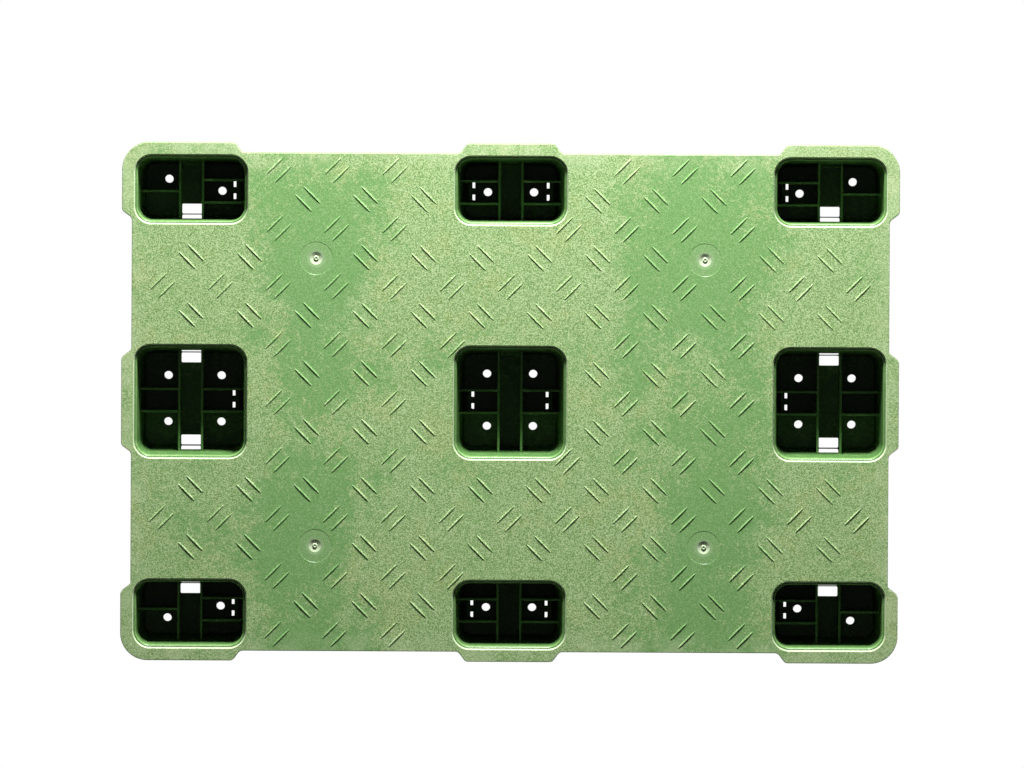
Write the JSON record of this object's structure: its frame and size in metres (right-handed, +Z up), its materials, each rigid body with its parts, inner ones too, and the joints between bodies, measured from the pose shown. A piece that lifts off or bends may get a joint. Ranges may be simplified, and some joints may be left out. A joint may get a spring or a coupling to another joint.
{
  "type": "plastic pallet",
  "caption": "Closed-deck plastic pallet with hollow legs, a diamond tread, four-way fork entry and clip-on runners.",
  "frame": {"origin": "on the floor, under the centre of the pallet", "axes": "+X along the 1200 mm side and the runners, +Y along the 800 mm side, +Z up"},
  "size_m": [1.2, 0.8, 0.15],
  "materials": {
    "deck": "scuffed satin, moulded tread",
    "legs": "satin moulded",
    "runners": "satin moulded, scuffed sole",
    "hooks": "satin moulded"
  },
  "bodies": {
    "pallet": {"deck_panel": "deck", "leg_front_left": "legs", "leg_middle_left": "legs", "leg_back_left": "legs", "leg_front_middle": "legs", "leg_centre": "legs", "leg_back_middle": "legs", "leg_front_right": "legs", "leg_middle_right": "legs", "leg_back_right": "legs", "runner_front": "runners", "runner_middle": "runners", "runner_back": "runners"},
    "hook_front_1": {"hook_front_1": "hooks"},
    "hook_front_2": {"hook_front_2": "hooks"},
    "hook_front_3": {"hook_front_3": "hooks"},
    "hook_front_4": {"hook_front_4": "hooks"},
    "hook_middle_1": {"hook_middle_1": "hooks"},
    "hook_middle_2": {"hook_middle_2": "hooks"},
    "hook_middle_3": {"hook_middle_3": "hooks"},
    "hook_middle_4": {"hook_middle_4": "hooks"},
    "hook_back_1": {"hook_back_1": "hooks"},
    "hook_back_2": {"hook_back_2": "hooks"},
    "hook_back_3": {"hook_back_3": "hooks"},
    "hook_back_4": {"hook_back_4": "hooks"}
  },
  "joints": [
    {"name": "hook_front_1_flex", "type": "hinge", "parent": "pallet", "child": "hook_front_1", "pos_m": [-0.422, -0.32325, 0.0076], "axis": [0, 1, 0], "range_deg": [0, 7], "stiffness_Nm_per_rad": 4},
    {"name": "hook_front_2_flex", "type": "hinge", "parent": "pallet", "child": "hook_front_2", "pos_m": [-0.063, -0.32325, 0.0076], "axis": [0, -1, 0], "range_deg": [0, 7], "stiffness_Nm_per_rad": 4},
    {"name": "hook_front_3_flex", "type": "hinge", "parent": "pallet", "child": "hook_front_3", "pos_m": [0.063, -0.32325, 0.0076], "axis": [0, 1, 0], "range_deg": [0, 7], "stiffness_Nm_per_rad": 4},
    {"name": "hook_front_4_flex", "type": "hinge", "parent": "pallet", "child": "hook_front_4", "pos_m": [0.422, -0.32325, 0.0076], "axis": [0, -1, 0], "range_deg": [0, 7], "stiffness_Nm_per_rad": 4},
    {"name": "hook_middle_1_flex", "type": "hinge", "parent": "pallet", "child": "hook_middle_1", "pos_m": [-0.422, 0, 0.0076], "axis": [0, 1, 0], "range_deg": [0, 7], "stiffness_Nm_per_rad": 4},
    {"name": "hook_middle_2_flex", "type": "hinge", "parent": "pallet", "child": "hook_middle_2", "pos_m": [-0.063, 0, 0.0076], "axis": [0, -1, 0], "range_deg": [0, 7], "stiffness_Nm_per_rad": 4},
    {"name": "hook_middle_3_flex", "type": "hinge", "parent": "pallet", "child": "hook_middle_3", "pos_m": [0.063, 0, 0.0076], "axis": [0, 1, 0], "range_deg": [0, 7], "stiffness_Nm_per_rad": 4},
    {"name": "hook_middle_4_flex", "type": "hinge", "parent": "pallet", "child": "hook_middle_4", "pos_m": [0.422, 0, 0.0076], "axis": [0, -1, 0], "range_deg": [0, 7], "stiffness_Nm_per_rad": 4},
    {"name": "hook_back_1_flex", "type": "hinge", "parent": "pallet", "child": "hook_back_1", "pos_m": [-0.422, 0.32325, 0.0076], "axis": [0, 1, 0], "range_deg": [0, 7], "stiffness_Nm_per_rad": 4},
    {"name": "hook_back_2_flex", "type": "hinge", "parent": "pallet", "child": "hook_back_2", "pos_m": [-0.063, 0.32325, 0.0076], "axis": [0, -1, 0], "range_deg": [0, 7], "stiffness_Nm_per_rad": 4},
    {"name": "hook_back_3_flex", "type": "hinge", "parent": "pallet", "child": "hook_back_3", "pos_m": [0.063, 0.32325, 0.0076], "axis": [0, 1, 0], "range_deg": [0, 7], "stiffness_Nm_per_rad": 4},
    {"name": "hook_back_4_flex", "type": "hinge", "parent": "pallet", "child": "hook_back_4", "pos_m": [0.422, 0.32325, 0.0076], "axis": [0, -1, 0], "range_deg": [0, 7], "stiffness_Nm_per_rad": 4}
  ],
  "couplings": [
    {"joint": "hook_front_2_flex", "follows": "hook_front_1_flex", "ratio": 1},
    {"joint": "hook_front_3_flex", "follows": "hook_front_1_flex", "ratio": 1},
    {"joint": "hook_front_4_flex", "follows": "hook_front_1_flex", "ratio": 1},
    {"joint": "hook_middle_2_flex", "follows": "hook_middle_1_flex", "ratio": 1},
    {"joint": "hook_middle_3_flex", "follows": "hook_middle_1_flex", "ratio": 1},
    {"joint": "hook_middle_4_flex", "follows": "hook_middle_1_flex", "ratio": 1},
    {"joint": "hook_back_2_flex", "follows": "hook_back_1_flex", "ratio": 1},
    {"joint": "hook_back_3_flex", "follows": "hook_back_1_flex", "ratio": 1},
    {"joint": "hook_back_4_flex", "follows": "hook_back_1_flex", "ratio": 1}
  ]
}
